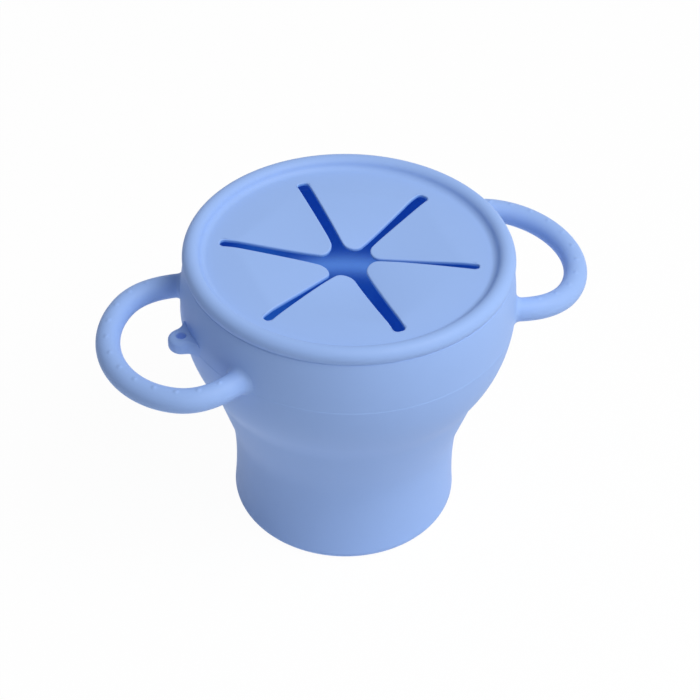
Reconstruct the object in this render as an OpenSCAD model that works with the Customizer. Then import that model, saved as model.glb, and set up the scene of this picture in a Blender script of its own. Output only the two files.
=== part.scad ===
// Collapsible snack cup for toddlers, with two loop handles and a slit lid.
// The cup and the lid are soft silicone mouldings. The cup's conical web turns inside out,
// so the bowl comes down over the base. Six petals in the lid bend to let a hand in.
// Origin: centre of the base's underside. +Z up, +X along the handles, lug on the -X side.

/* [Base] */
// Height of the base, up to the lower fold ring
base_h = 29; // [26:0.5:34]
// Outer diameter at the foot
foot_d = 65.3; // [63:0.1:69]
// Outer diameter at the waist, the narrowest place
waist_d = 63.5; // [60:0.1:66]
// Height of the waist
waist_h = 15.5; // [10:0.5:20]
// Outer diameter of the lower fold ring
fold_low_d = 65.4; // [62:0.1:68]
// Radius of the rounded edge round the foot
foot_round = 2.9; // [1.5:0.1:4]
// Thickness of the floor
floor_t = 3; // [2:0.1:4]
// Width of the flat ring that the cup stands on
foot_ring_w = 4; // [3:0.5:8]
// Depth of the recess inside that ring
foot_recess = 0.6; // [0.3:0.1:1]
// Radius where the floor meets the wall inside
floor_round = 1.5; // [1:0.5:4]

/* [Bowl] */
// Thickness of the cup's walls, measured level
wall_t = 2; // [1.8:0.1:3]
// Height of the folding web
web_h = 19.2; // [16:0.1:22]
// Thickness of the folding web, measured level
web_t = 1.5; // [1:0.1:1.8]
// Outer diameter of the upper fold ring
fold_high_d = 77.9; // [76:0.1:80]
// Height from the upper fold ring to the widest place
belly_rise = 22.3; // [20:0.1:25]
// Outer diameter at the widest place
belly_d = 92.4; // [90:0.1:96]
// Height from the widest place to the rim
rim_rise = 14.7; // [12:0.1:17]
// Outer diameter at the rim
rim_d = 89.6; // [87:0.1:91]
// Radius of the rim's rounded outer edge
rim_round = 0.8; // [0.5:0.1:1.2]

/* [Handles] */
// How far a handle stands out from the widest place
handle_reach = 25.1; // [20:0.1:30]
// Width of a handle, over its bar
handle_w = 55.1; // [50:0.1:60]
// Diameter of the bar
bar_d = 6.6; // [5:0.1:7]
// Height of the handles' roots above the widest place
handle_lift = 0.3; // [-2:0.1:2]
// How far the handles slope down, in degrees
handle_droop = 2.7; // [0:0.1:8]
// How much the bar's radius swells where it grows out of the bowl
root_swell = 0.4; // [0:0.1:2]
// How far along the bar the swelling reaches
swell_len = 7; // [5:0.5:14]

/* [Lanyard lug] */
// Diameter of the lug's hole
lug_bore_d = 2.6; // [2:0.1:3]
// Wall round the hole
lug_wall = 2.3; // [1.8:0.1:3]
// Bare gap between the hole and the bowl
lug_gap = 0.7; // [0.5:0.1:2]
// Thickness of the lug
lug_t = 3; // [2:0.1:4]
// Radius of the fillets at the lug's root
lug_fillet = 2; // [1:0.1:2.5]

/* [Lid] */
// How far the lid's edge stands outside the rim's outer edge
lid_over = 0.2; // [0:0.05:0.5]
// Width of the bead round the lid
bead_w = 4.9; // [4.6:0.05:5.6]
// Height of the bead's top above the rim
bead_h = 3.95; // [3.5:0.05:5]
// How far the disc lies below the bead's top
disc_drop = 2.8; // [2:0.1:3.5]
// Thickness of the disc and its petals
disc_t = 1.2; // [1:0.1:2.4]
// How far the plug reaches down inside the rim
plug_depth = 6; // [4:0.1:8]
// Thickness of the plug
plug_t = 1.8; // [1.2:0.1:2.4]
// Height of the plug's sealing rib
rib_h = 0.5; // [0.3:0.05:0.7]
// Clearance between the rib and the rim
lid_fit = 0.15; // [0.1:0.05:0.3]
// How far the lid is turned on the cup, in degrees
lid_turn = -2; // [-30:1:30]

/* [Petals] */
// Distance from a slit's end to the bead
slit_margin = 5; // [3.5:0.1:7]
// Width of a slit at its end
slit_w = 3.7; // [2.8:0.1:4.2]
// Width of a slit at the middle
slit_w_mid = 3.7; // [3:0.1:4.4]
// Radius of a petal's rounded tip
tip_r = 3; // [2:0.1:4]
// How far the petals sag at rest, in degrees
petal_sag = 6; // [0:0.5:12]
// Clearance behind a petal's root
root_gap = 0.15; // [0.1:0.05:0.2]

/* [Hidden] */
$fn = 96;
eps = 0.01;
profile_step = 2.4;
slit_count = 6;
silicone = [0.56, 0.69, 0.93];
silicone_lid = [0.62, 0.74, 0.95];

fold_z = base_h + web_h;
belly_z = fold_z + belly_rise;
rim_z = belly_z + rim_rise;
belly_r = belly_d / 2;
rim_r = rim_d / 2;
waist_r = waist_d / 2;
mouth_r = rim_r - wall_t;
rim_in_round = (wall_t - rim_round) / 3;

bar_r = bar_d / 2;
loop_out = handle_reach - bar_r;
loop_side = handle_w / 2 - bar_r;
loop_steps = 36;
bar_sides = 20;
loop_spread = belly_r * loop_out;
root_angle = acos(-pow(loop_side, 2) / (loop_spread
    + sqrt(pow(loop_spread, 2) - (pow(loop_out, 2) - pow(loop_side, 2)) * pow(loop_side, 2))));
swell_start = root_angle - swell_len / loop_side * 180 / PI;
loop_end = root_angle + 18;
handle_z = belly_z + handle_lift;

lug_r = lug_bore_d / 2 + lug_wall;
lug_x = belly_r + lug_gap + lug_bore_d / 2;

lid_r = rim_r + lid_over;
bead_top = rim_z + bead_h;
bead_round = bead_w / 2;
bead_r = lid_r - bead_round;
disc_top = bead_top - disc_drop;
disc_mid = disc_top - disc_t / 2;
throat_r = min(mouth_r, cup_r(rim_z - plug_depth) - wall_t);
plug_r = throat_r - lid_fit - rib_h;

slit_end_r = lid_r - bead_w - slit_margin;
slit_far_r = slit_end_r - slit_w / 2;
half_pitch = 180 / slit_count;
hinge_r = slit_far_r * cos(half_pitch);
slit_taper = (slit_w_mid - slit_w) / 2 / slit_far_r;
petal_angle = half_pitch + atan(slit_taper);
petal_x0 = slit_w_mid / 2 * cos(petal_angle - half_pitch) / sin(petal_angle);
tip_x = petal_x0 + tip_r / sin(petal_angle);
petal_half_w = (hinge_r - petal_x0) * tan(petal_angle);

// Radius at height z of an arc that stands upright at (ra, za) and ends at (rb, zb)
function arc_r(z, ra, za, rb, zb) =
    let (step = rb - ra, rise = zb - za)
    abs(step) < eps ? ra :
    let (bend = (step * step + rise * rise) / (2 * abs(step)))
    ra + sign(step) * (bend - sqrt(bend * bend - pow(z - za, 2)));

// Outer radius of the whole cup at height z
function cup_r(z) =
    z < waist_h ? arc_r(z, waist_r, waist_h, foot_d / 2, 0) :
    z <= base_h ? arc_r(z, waist_r, waist_h, fold_low_d / 2, base_h) :
    z < fold_z ? fold_low_d / 2 + (fold_high_d - fold_low_d) / 2 * (z - base_h) / web_h :
    z < belly_z ? arc_r(z, belly_r, belly_z, fold_high_d / 2, fold_z) :
    arc_r(z, belly_r, belly_z, rim_r, rim_z);

// Points up the cup's side from z0 to z1, moved in by inset
function side(z0, z1, inset) =
    let (steps = ceil((z1 - z0) / profile_step))
    [for (i = [0:steps]) let (z = z0 + (z1 - z0) * i / steps) [cup_r(z) - inset, z]];

// Points of a rounded corner with its centre at c, from angle a0 to a1
function corner(c, r, a0, a1) =
    [for (i = [0:6]) let (a = a0 + (a1 - a0) * i / 6) [c[0] + r * cos(a), c[1] + r * sin(a)]];

function reversed(points) = [for (i = [len(points) - 1:-1:0]) points[i]];

// Everything inside the bowl's outer surface, which trims what grows out of the bowl
module bowl_body() {
    top = rim_z - rim_round;
    rotate_extrude()
        polygon(concat([[0, fold_z]], side(fold_z, top, 0), [[0, top]]));
}

module base_cup() {
    foot_r = cup_r(foot_round);
    ring_r = foot_r - foot_round - foot_ring_w;
    wall_z = floor_t + floor_round;
    inside_r = cup_r(wall_z) - wall_t;
    color(silicone)
        rotate_extrude()
            polygon(concat(
                [[0, foot_recess], [ring_r - foot_recess, foot_recess], [ring_r, 0]],
                corner([foot_r - foot_round, foot_round], foot_round, -90, 0),
                side(foot_round + profile_step / 2, base_h, 0),
                reversed(side(wall_z + profile_step / 2, base_h, wall_t)),
                corner([inside_r - floor_round, wall_z], floor_round, 0, -90),
                [[0, floor_t]]));
}

// The web is drawn as it stands when the cup is open
module fold_web() {
    color(silicone)
        rotate_extrude()
            polygon([
                [fold_low_d / 2 - web_t, base_h],
                [fold_low_d / 2, base_h],
                [fold_high_d / 2, fold_z],
                [fold_high_d / 2 - web_t, fold_z]]);
}

module upper_bowl() {
    top = rim_z - rim_round;
    color(silicone)
        rotate_extrude()
            polygon(concat(
                side(fold_z, top, 0),
                corner([rim_r - rim_round, top], rim_round, 0, 90),
                corner([mouth_r + rim_in_round, rim_z - rim_in_round], rim_in_round, 90, 180),
                reversed(side(fold_z, top, wall_t))));
}

// A point on the middle line of a handle, at angle t of its oval
function loop_point(t) = [loop_out * cos(t), loop_side * sin(t), 0];

// The level direction that leads straight out of the oval at angle t
function loop_normal(t) =
    let (n = [loop_side * cos(t), loop_out * sin(t), 0])
    n / norm(n);

// Radius of the bar at angle t: it swells towards the bowl
function loop_bar_r(t) =
    let (into = max(0, abs(t) - swell_start) / (root_angle - swell_start))
    bar_r + root_swell * min(1, into * into);

// The middle line is an oval that reaches out along +X and starts inside the bowl
module handle_loop() {
    stations = [for (i = [0:loop_steps]) (2 * i / loop_steps - 1) * loop_end];
    rings = [for (t = stations) for (j = [0:bar_sides - 1])
        let (a = 360 * j / bar_sides)
        loop_point(t) + loop_bar_r(t) * (cos(a) * loop_normal(t) + [0, 0, sin(a)])];
    skin = [for (i = [0:loop_steps - 1]) for (j = [0:bar_sides - 1])
        let (k = i * bar_sides, n = (j + 1) % bar_sides)
        each [[k + j, k + bar_sides + j, k + n], [k + n, k + bar_sides + j, k + bar_sides + n]]];
    first_end = [for (j = [0:bar_sides - 1]) j];
    last_end = [for (j = [bar_sides - 1:-1:0]) loop_steps * bar_sides + j];
    polyhedron(rings, concat(skin, [first_end, last_end]));
}

module handle() {
    color(silicone)
        difference() {
            translate([belly_r, 0, handle_z])
                rotate([0, handle_droop, 0])
                    handle_loop();
            bowl_body();
        }
}

module handle_right() {
    handle();
}

module handle_left() {
    mirror([1, 0, 0])
        handle();
}

// Outline of the lug round its hole, with fillets where it grows out of the bowl
module lug_outline() {
    root_x = lug_x - belly_r;
    root_w = lug_r + lug_fillet;
    difference() {
        union() {
            circle(lug_r);
            translate([0, -lug_r])
                square([root_x + wall_t / 2, 2 * lug_r]);
            translate([root_x - lug_fillet, -root_w])
                square([lug_fillet + wall_t / 2, 2 * root_w]);
        }
        for (side = [-1, 1])
            translate([root_x - lug_fillet, side * root_w])
                circle(lug_fillet);
    }
}

module lanyard_lug() {
    color(silicone)
        difference() {
            translate([-lug_x, 0, belly_z - lug_t / 2])
                linear_extrude(lug_t)
                    lug_outline();
            translate([-lug_x, 0, belly_z - lug_t])
                cylinder(d = lug_bore_d, h = 2 * lug_t);
            bowl_body();
        }
}

// Outline of a petal, from its root on the +X side to its tip near the middle of the lid
module petal_outline() {
    touch = [tip_x - tip_r * sin(petal_angle), tip_r * cos(petal_angle)];
    polygon([
        [touch[0], -touch[1]],
        [hinge_r, -petal_half_w],
        [hinge_r, petal_half_w],
        touch]);
    translate([tip_x, 0])
        circle(tip_r);
}

// Opening in the disc: a corner at each slit's end, and a recess for each petal's root
module star_opening() {
    recess = disc_t / 2 + root_gap;
    rotate(half_pitch)
        circle(slit_far_r, $fn = slit_count);
    for (i = [0:slit_count - 1])
        rotate(i * 2 * half_pitch) {
            translate([hinge_r - recess, -petal_half_w])
                square([2 * recess, 2 * petal_half_w]);
            rotate(half_pitch)
                translate([slit_far_r, 0])
                    circle(d = slit_w);
        }
}

// Section of the lid through one side: bead with its flat seat, plug with its rib, and disc
module lid_section() {
    bead_z = bead_top - bead_round;
    intersection() {
        translate([bead_r, bead_z])
            circle(bead_round);
        translate([0, rim_z])
            square([lid_r + bead_w, bead_h + bead_w]);
    }
    translate([plug_r - plug_t, rim_z - plug_depth])
        square([plug_t, plug_depth + disc_top - rim_z - eps]);
    translate([plug_r, rim_z - plug_depth / 2])
        circle(rib_h);
    // The flange that lies on the rim, from the plug out to the bead
    translate([plug_r - plug_t / 2, rim_z + eps])
        square([bead_r - plug_r + plug_t / 2, (disc_top - rim_z) / 2]);
    translate([0, disc_top - disc_t])
        square([plug_r, disc_t]);
}

module lid_ring() {
    color(silicone_lid)
        difference() {
            rotate_extrude()
                lid_section();
            translate([0, 0, disc_top - disc_t - eps])
                rotate(lid_turn)
                    linear_extrude(disc_t + 2 * eps)
                        star_opening();
        }
}

// A petal bends about the line between the ends of its two slits, and its root is round there
module petal(i) {
    color(silicone_lid)
        rotate(lid_turn + 2 * half_pitch * (i - 1))
            translate([hinge_r, 0, disc_mid])
                rotate([0, -petal_sag, 0])
                    union() {
                        translate([-hinge_r, 0, -disc_t / 2])
                            linear_extrude(disc_t)
                                petal_outline();
                        rotate([90, 0, 0])
                            cylinder(d = disc_t, h = 2 * petal_half_w, center = true);
                    }
}

base_cup();
fold_web();
upper_bowl();
handle_left();
handle_right();
lanyard_lug();
lid_ring();
petal(1);  // petal_1
petal(2);  // petal_2
petal(3);  // petal_3
petal(4);  // petal_4
petal(5);  // petal_5
petal(6);  // petal_6
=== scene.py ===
"""Skins, finishes and stage of a collapsible silicone snack cup with two loop handles and a slit lid.

One closed skin is made for each moulded piece and takes the place of that piece's plain solid.
All lengths are in metres. +Z is up, +X runs along the handles, and the lug is on the -X side.
"""

import math
from types import SimpleNamespace

import bpy
import numpy as np
from bpy.props import FloatProperty, FloatVectorProperty, IntProperty, PointerProperty
from mathutils import Matrix, Vector


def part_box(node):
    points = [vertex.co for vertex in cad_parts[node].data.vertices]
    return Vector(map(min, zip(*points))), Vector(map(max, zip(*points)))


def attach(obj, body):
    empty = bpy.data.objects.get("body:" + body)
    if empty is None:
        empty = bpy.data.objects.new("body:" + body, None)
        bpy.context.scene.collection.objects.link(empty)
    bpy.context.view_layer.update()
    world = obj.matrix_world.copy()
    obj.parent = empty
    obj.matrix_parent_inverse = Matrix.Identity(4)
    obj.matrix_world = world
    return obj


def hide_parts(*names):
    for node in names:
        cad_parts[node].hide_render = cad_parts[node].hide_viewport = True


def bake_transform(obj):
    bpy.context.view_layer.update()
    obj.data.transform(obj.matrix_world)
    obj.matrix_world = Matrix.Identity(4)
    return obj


bl_info = {
    "name": "Snack Cup Skins",
    "version": (1, 0, 0),
    "blender": (4, 5, 0),
    "location": "3D View > Sidebar > Snack Cup",
    "description": "Makes the skins, finishes and stage of a collapsible silicone snack cup",
    "category": "Add Mesh",
}

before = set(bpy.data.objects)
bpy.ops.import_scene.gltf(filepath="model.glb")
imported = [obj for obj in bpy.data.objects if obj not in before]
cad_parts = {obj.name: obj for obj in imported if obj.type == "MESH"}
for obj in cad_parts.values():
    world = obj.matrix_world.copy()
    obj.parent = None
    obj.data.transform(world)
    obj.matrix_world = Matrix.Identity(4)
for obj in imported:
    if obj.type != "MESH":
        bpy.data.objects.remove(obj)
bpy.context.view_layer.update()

BASE_TOP = float(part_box("base_cup")[1][2])
BOWL_FOOT, BOWL_TOP = (float(corner[2]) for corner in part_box("upper_bowl"))
BOWL_RADIUS = float(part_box("upper_bowl")[1][1])
LID_TOP = float(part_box("lid_ring")[1][2])
LID_RADIUS = float(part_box("lid_ring")[1][0])

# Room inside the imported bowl's box for the step at the parting line
STEP_ROOM = 0.00011

PETALS = 6
PITCH = 2 * math.pi / PETALS

# Points round the cup, round a handle's bar, and along it
ROUND_SIDES = 264
BAR_SIDES = 112
BAR_STATIONS = 401
# Where a petal's and the disc's points stand on half a hinge line, and the angles of an edge's rings
CHORD_SHARES = np.linspace(0, 0.98, 18)
QUARTER = np.linspace(0, 90, 6)
# Radius of the last ring round the axis, which a fan of triangles closes
CENTRE_RING = 0.002
# Edges that turn by more than this stay sharp
SHARP = math.radians(40)

# How deep handles and lug reach under the bowl's skin, and how far their hidden lip stands under it
SUNK = 0.0012
HIDDEN_LIP = 0.00003

# Names of what a skin's points know: where they were at rest, and their share of the inside, which places the
# painted inner shade and painted glow
REST_PLACE = "rest_place"
PAINTED_LIGHT_SHARE = "inside"

CUP_FINISH = "cup_silicone"
LID_FINISH = "lid_silicone"
SILICONE_IOR = 1.41
WHITE = (1, 1, 1, 1)


# ---------------------------------------------------------------- sizes and colours


def number(name, description, default, **kind):
    """A number that a user can change."""
    return FloatProperty(name=name, description=description, default=default, **kind)


def metres(name, description, default):
    """A length."""
    return number(name, description, default, unit="LENGTH")


def degrees(name, description, default):
    """An angle, with its default in degrees."""
    return number(name, description, math.radians(default), subtype="ANGLE")


def row(name, description, default, **kind):
    """A row of numbers, such as one for each side, petal or slit."""
    return FloatVectorProperty(name=name, description=description, default=default, size=len(default), **kind)


def rgb(name, description, default):
    """A colour, as red, green and blue."""
    return row(name, description, default, subtype="COLOR")


class CupSizes(bpy.types.PropertyGroup):
    """Sizes of the cup: base, folding web and bowl."""

    base_h: metres("Base height", "Height of the lower fold ring", BASE_TOP)
    foot_d: metres("Foot", "Outer diameter at the foot", 0.0655)
    foot_round: metres("Foot edge", "Radius of the edge round the foot", 0.0029)
    foot_ring: metres("Foot ring", "Width of the flat ring that the cup stands on", 0.004)
    foot_recess: metres("Recess", "Depth of the recess inside the foot ring", 0.0006)
    waist_d: metres("Waist", "Outer diameter at the narrowest place", 0.0637)
    waist_h: metres("Waist height", "Height of the narrowest place", 0.0155)
    floor: metres("Floor", "Thickness of the floor", 0.003)
    floor_round: metres("Floor corner", "Radius between floor and wall inside", 0.0015)
    fold_low_d: metres("Lower fold", "Outer diameter of the lower fold ring", 0.0656)
    fold_low_soft: metres("Lower fold softness", "Height over which the lower fold is rounded", 0.004)
    fold_high_d: metres("Upper fold", "Outer diameter of the upper fold ring", 0.0779)
    fold_high_soft: metres("Upper fold softness", "Height over which the upper fold is rounded", 0.0035)
    fold_z: metres("Bowl's foot", "Height of the upper fold ring", BOWL_FOOT)
    belly_d: metres("Belly", "Outer diameter at the widest place", 2 * (BOWL_RADIUS - STEP_ROOM))
    belly_z: metres("Belly height", "Height of the widest place", 0.0705)
    rim_d: metres("Rim", "Outer diameter at the rim", 0.0892)
    rim_z: metres("Rim height", "Height of the rim", BOWL_TOP)
    rim_round: metres("Rim edge", "Radius of the rim's outer edge", 0.0003)
    wall: metres("Wall", "Thickness of the walls of base and bowl", 0.002)
    web_wall: metres("Web", "Thickness of the folding web", 0.0014)
    fold_low_wall: metres("Lower hinge", "Thickness at the lower fold ring", 0.0009)
    fold_high_wall: metres("Upper hinge", "Thickness at the upper fold ring", 0.0012)
    parting_z: metres("Parting line", "Height of the mould's parting line", 0.07)
    parting_h: metres("Parting step", "Height of the step at the parting line", 0.00008)
    parting_w: metres("Parting width", "Height over which the step falls back", 0.00028)
    # Where the painted glow on the cup's inside is brightest; it stands in for light let through the thin web
    glow_band_z: metres("Light band", "Height of the inside's lit band", 0.0518)
    glow_band_w: metres("Band width", "Half the height of the lit band", 0.0028)


class HandleSizes(bpy.types.PropertyGroup):
    """Sizes of a loop handle and of the lug for a lanyard."""

    reach: metres("Reach", "How far a handle stands out from the belly", 0.0251)
    width: metres("Width", "Width of a handle over its bar", 0.0558)
    bar_d: metres("Bar", "Diameter of the bar", 0.0066)
    lift: row("Lift", "Height of the roots above the belly, left and right", (0.0011, 0.0002), unit="LENGTH")
    droop: row("Droop", "Slope downwards, left and right", (0.088, 0.041))
    pinch: row(
        "Pinch",
        "Share of its width by which the oval closes towards its roots, left and right",
        (0.1, 0.06),
    )
    root_round: metres("Root fillet", "Reach of the fillet between bar and bowl", 0.0018)
    nub_count: IntProperty(name="Nubs", description="Number of nubs along the top of a bar", default=13)
    nub_shift: degrees("Nub shift", "How far the row starts towards the back", 3)
    nub_step: degrees("Nub step", "Step from nub to nub round the oval", 15.4)
    nub_d: metres("Nub", "Diameter of a nub at its foot", 0.0019)
    nub_h: metres("Nub height", "Height of a nub", 0.00024)
    lug_hole_d: metres("Lug hole", "Diameter of the lug's hole", 0.0026)
    lug_wall: metres("Lug wall", "Wall round the lug's hole", 0.0023)
    lug_gap: metres("Lug gap", "Bare gap between hole and bowl", 0.00125)
    lug_t: metres("Lug thickness", "Height of the lug", 0.0043)
    lug_rise: metres("Lug rise", "Height of the lug's middle above the belly", 0.0007)
    lug_edge: metres("Lug edge", "Radius of the lug's outer edges", 0.0014)
    lug_round: metres("Lug fillet", "Reach of the fillets at the lug's sides", 0.004)


class LidSizes(bpy.types.PropertyGroup):
    """Sizes of the lid: bead, seat, plug and disc."""

    radius: metres("Radius", "Outer radius of the lid", LID_RADIUS)
    top: metres("Top", "Height of the bead's top", LID_TOP)
    bead_w: metres("Bead", "Width of the bead", 0.0049)
    crease: metres("Crease", "Radius between bead and disc", 0.0022)
    neck_round: metres("Neck", "Radius where the bead turns down to its seat", 0.0005)
    disc_drop: metres("Disc drop", "How far the disc lies below the bead's top", 0.0028)
    disc_t: metres("Disc", "Thickness of disc and petals", 0.0012)
    plug_r: metres("Plug radius", "Outer radius of the plug", 0.04215)
    plug_t: metres("Plug", "Thickness of the plug", 0.0018)
    plug_depth: metres("Plug depth", "How far the plug reaches down", 0.006)
    rib: metres("Rib", "Height of the plug's sealing rib", 0.0005)
    turn: degrees("Turn", "How far the lid is turned on the cup", -2)
    slit_margin: metres("Slit margin", "Distance from a slit's end to the bead", 0.005)
    slit_w: metres("Slit width", "Width of a slit near its end", 0.0037)
    slit_w_mid: metres("Slit width inside", "Width that the slits would have at the middle", 0.0037)
    slit_corner: metres("Slit corner", "Radius of the corners at a slit's end", 0.0013)
    slit_edge: metres("Slit edge", "Radius of the slits' upper and lower edges", 0.0004)
    tip_r: metres("Petal tip", "Radius of a petal's tip", 0.003)
    sag: row("Sag", "Each petal's slope downwards at rest", (0.078, 0.149, 0.082, 0.158, 0.122, 0.051))
    twist: row(
        "Twist",
        "How much steeper each petal's far side slopes than its middle",
        (-0.025, -0.069, 0.057, 0.027, 0.092, -0.070),
    )
    sag_soft: metres("Sag softness", "Length over which the slope sets in", 0.0025)
    slit_sides: row(
        "Slit sides",
        "How far each slit side stands off its even place, two for each slit",
        (
            0.00020, -0.00013, 0.00048, 0.00007, 0.00105, 0.00018,
            0.00088, -0.00028, 0.00038, -0.00005, 0.00077, -0.00066,
        ),
        unit="LENGTH",
    )
    slit_ends: row(
        "Slit ends",
        "How far each slit's outer end is moved outwards",
        (-0.0006, -0.0001, 0.00025, 0.0005, -0.0004, 0.0001),
        unit="LENGTH",
    )
    bend_len: metres("Bend length", "Length of petal that takes the bend", 0.006)


class Finishes(bpy.types.PropertyGroup):
    """Colours and texture of the silicone, with its painted inner shade and painted glow."""

    cup_colour: rgb("Cup", "Colour of the cup's silicone", (0.314, 0.464, 0.795))
    lid_colour: rgb("Lid", "Colour of the lid's silicone", (0.314, 0.464, 0.795))
    roughness: number("Roughness", "Roughness of the matte silicone", 0.52, subtype="FACTOR")
    grain: metres("Grain", "Depth of the mould's fine grain", 0.000006)
    # Painted glow inside the cup, standing in for light that the thin web lets through
    cup_painted_glow: rgb("Light in the cup", "Light that the thin web lets through inside", (0.075, 0.175, 0.375))
    # Painted glow on the slits' sides, standing in for light that leaves the disc's edge
    lid_painted_glow: rgb("Light in the lid", "Light that leaves the edges along the slits", (0.008, 0.035, 0.13))
    # Painted glow all over the silicone, standing in for light scattered back out of it
    scattered: rgb("Scattered light", "Light that comes back out of all of the silicone", (0.0, 0.01, 0.055))
    # Painted shade inside: what is left of each colour where light bounces again and again
    painted_inner_shade: rgb(
        "Inner tint",
        "What is left of each colour inside, where light is scattered again and again",
        (0.2, 0.74, 1.0),
    )
    # How fast the painted inner shade sets in on the cup and on the lid
    cup_shade_gain: number("Cup's tint", "How fast the inner tint sets in on the cup's inside", 25.0)
    lid_shade_gain: number("Lid's tint", "How fast the inner tint sets in on the lid's inside", 0.8)


class StageLook(bpy.types.PropertyGroup):
    """Lamp, surroundings, floor and camera."""

    surround: number("Surroundings", "Strength of the light from all round", 0.25)
    key_power: number("Key lamp", "Power of the large soft lamp", 11.6, unit="POWER")
    key_size: metres("Lamp's size", "Width of the large soft lamp", 0.7)
    key_far: metres("Lamp's distance", "How far the lamp stands from the cup's middle", 1.1)
    floor_colour: rgb("Floor", "Colour of the floor", (0.92, 0.92, 0.92))
    floor_plain: number("Plain floor", "Share of plain white in the floor's look", 0.97, subtype="FACTOR")
    lens: number("Lens", "Focal length of the camera", 90.05, unit="CAMERA")
    shift: row("Shift", "How far the view is moved to the right and up, in its widths", (-0.0013, 0.0009))
    camera_out: metres("Camera's distance", "How far the camera stands from the cup's axis", 0.375327)
    camera_z: metres("Camera's height", "Height of the camera above the floor", 0.374144)
    camera_round: degrees("Camera's side", "How far the camera stands round the cup from the -Y side", 24.99)
    camera_swing: degrees("Swing", "How far the camera looks past the cup's axis, to the right", 0.175)
    camera_down: degrees("Tip", "How far the camera looks down", 40.654)
    camera_roll: degrees("Roll", "How far the camera is turned about its line of sight", 1.513)


# ---------------------------------------------------------------- lines and fields


def eased(share):
    """3 s squared - 2 s cubed, with s held between 0 and 1: a soft step."""
    share = np.clip(share, 0.0, 1.0)
    return share * share * (3 - 2 * share)


def arc(centre, radius, start, end, count):
    """Points of a circle: centre + radius (cos a, sin a), with a going from start to end in degrees."""
    a = np.radians(np.linspace(start, end, count))
    return np.column_stack([centre[0] + radius * np.cos(a), centre[1] + radius * np.sin(a)])


def soft_line(corners, radii, fine=6):
    """The line through the corners, each inner corner rounded off by a circle of its radius.

    The circle's centre lies on the corner's bisector, and its points turn evenly from tangent to tangent.
    """
    corners = np.asarray(corners, float)
    parts = [corners[:1]]
    for before, corner, after, radius in zip(corners, corners[1:], corners[2:], radii):
        back = (before - corner) / np.linalg.norm(before - corner)
        ahead = (after - corner) / np.linalg.norm(after - corner)
        half = math.acos(float(np.clip(back @ ahead, -1, 1))) / 2
        centre = corner + (back + ahead) / np.linalg.norm(back + ahead) * radius / math.sin(half)
        first = corner + back * radius / math.tan(half) - centre
        last = corner + ahead * radius / math.tan(half) - centre
        turn = math.pi - 2 * half
        share = np.linspace(0, 1, fine + 1)[:, None]
        parts.append(
            centre + (np.sin((1 - share) * turn) * first + np.sin(share * turn) * last) / math.sin(turn)
        )
    parts.append(corners[-1:])
    return np.vstack(parts)


def heights(low, high, step, near=()):
    """Heights from low to high in even steps, with one more close to each end.

    Round each of near, 21 heights stand within half a millimetre on either side.
    """
    close, dense = 0.00002, np.linspace(-0.0005, 0.0005, 21)
    runs = [np.linspace(low, high, max(2, int(round((high - low) / step)) + 1))]
    runs.append([low + close, high - close])
    runs += [centre + dense for centre in near]
    return np.unique(np.round(np.concatenate(runs), 7))


def standing_arc(z, r_up, z_up, r_end, z_end):
    """Radius at height z of the circle that stands upright at (r_up, z_up) and passes (r_end, z_end).

    r_up + side (R - root(R squared - (z - z_up) squared)), and the slope side (z - z_up) / root(...).
    """
    step, rise = r_end - r_up, z_end - z_up
    bend = (step * step + rise * rise) / (2 * abs(step))
    root = np.sqrt(np.maximum(bend * bend - (z - z_up) ** 2, 1e-12))
    return r_up + np.sign(step) * (bend - root), np.sign(step) * (z - z_up) / root


def cup_radius(z, cup):
    """Outer radius of the cup at height z: two arcs from foot to lower fold, a cone, two arcs up to the rim.

    At each fold the slope jumps. Over the fold's softness w on either side the radius gains
    jump / (4 w) times (w - distance) squared, which turns the slope evenly from one to the other.
    """
    z = np.asarray(z, float)
    waist, low, high, belly = cup.waist_d / 2, cup.fold_low_d / 2, cup.fold_high_d / 2, cup.belly_d / 2
    slope = (high - low) / (cup.fold_z - cup.base_h)
    foot_part, _ = standing_arc(z, waist, cup.waist_h, cup.foot_d / 2, 0)
    neck_part, _ = standing_arc(z, waist, cup.waist_h, low, cup.base_h)
    bowl_part, _ = standing_arc(z, belly, cup.belly_z, high, cup.fold_z)
    rim_part, _ = standing_arc(z, belly, cup.belly_z, cup.rim_d / 2, cup.rim_z)
    radius = np.select(
        [z < cup.waist_h, z <= cup.base_h, z < cup.fold_z, z < cup.belly_z],
        [foot_part, neck_part, low + slope * (z - cup.base_h), bowl_part],
        rim_part,
    )
    _, slope_below = standing_arc(cup.base_h, waist, cup.waist_h, low, cup.base_h)
    _, slope_above = standing_arc(cup.fold_z, belly, cup.belly_z, high, cup.fold_z)
    for ring, soft, jump in (
        (cup.base_h, cup.fold_low_soft, slope - slope_below),
        (cup.fold_z, cup.fold_high_soft, slope_above - slope),
    ):
        radius = radius + jump / (4 * soft) * np.maximum(0, soft - np.abs(z - ring)) ** 2
    return radius


def cup_wall(z, cup):
    """Thickness of the cup's wall at height z: soft steps between the walls, the web and the two hinges."""
    low, high = cup.base_h, cup.fold_z
    base_thins, hinge_ends, web_starts, web_ends, bowl_thickens = 0.0045, 0.0036, 0.007, 0.0037, 0.0053
    hinge_gains = 0.0001
    stations = [
        (0, cup.wall),
        (low - base_thins, cup.wall),
        (low, cup.fold_low_wall),
        (low + hinge_ends, cup.fold_low_wall + hinge_gains),
        (low + web_starts, cup.web_wall),
        (high - web_ends, cup.web_wall),
        (high, cup.fold_high_wall),
        (high + bowl_thickens, cup.wall),
        (cup.rim_z, cup.wall),
    ]
    at, thick = zip(*stations)
    place = np.interp(z, at, range(len(at)))
    whole = np.floor(place)
    return np.interp(whole + eased(place - whole), range(len(thick)), thick)


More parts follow.
